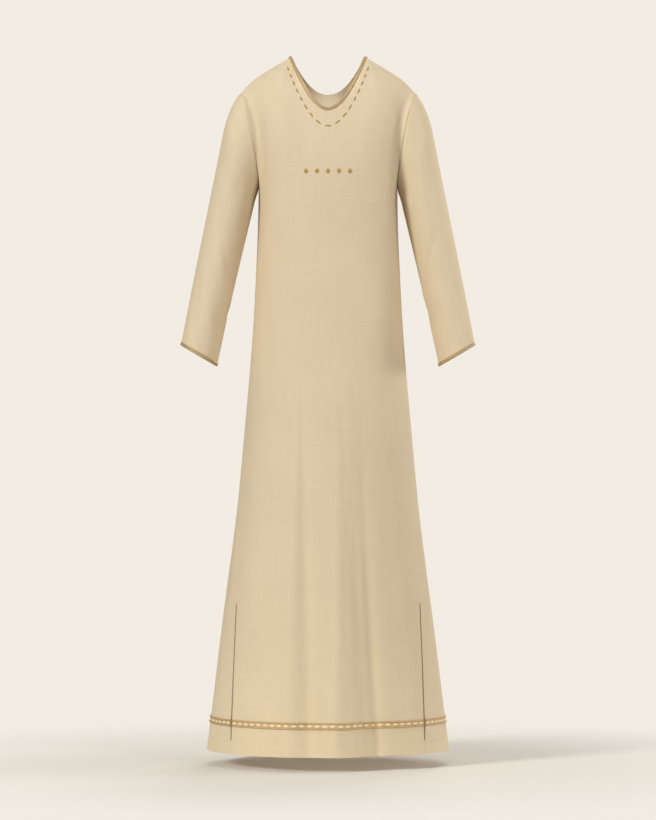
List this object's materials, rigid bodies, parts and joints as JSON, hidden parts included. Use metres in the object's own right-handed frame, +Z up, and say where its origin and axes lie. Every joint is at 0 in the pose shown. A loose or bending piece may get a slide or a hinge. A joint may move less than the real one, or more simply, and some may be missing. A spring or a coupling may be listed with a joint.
{
  "type": "closed-front abaya",
  "caption": "Full-length A-line abaya: closed front, long set-in sleeves, scooped neck, gold bindings, diamond studs, hem braid and front vents, filled out and hollow.",
  "frame": {"origin": "midway between the two neck points, where the shoulder seams meet the neckline and the wearer's shoulders hold it", "axes": "+Z up, -Y out of the front, +X towards the wearer's left"},
  "size_m": [0.6032, 0.4181, 1.4217],
  "materials": {
    "cloth": "matt sand-coloured woven crepe",
    "gold_thread": "satin gold-coloured braid and binding",
    "stud": "brushed"
  },
  "bodies": {
    "root": {"back": "cloth", "cuff_binding_left": "gold_thread", "cuff_binding_right": "gold_thread", "front": "cloth", "hem_braid_back": "gold_thread", "hem_braid_front": "gold_thread", "hem_braid_side_left": "gold_thread", "hem_braid_side_right": "gold_thread", "neck_binding": "gold_thread", "sleeve_left": "cloth", "sleeve_right": "cloth", "stud_1": "stud", "stud_2": "stud", "stud_3": "stud", "stud_4": "stud", "stud_5": "stud"}
  },
  "joints": []
}
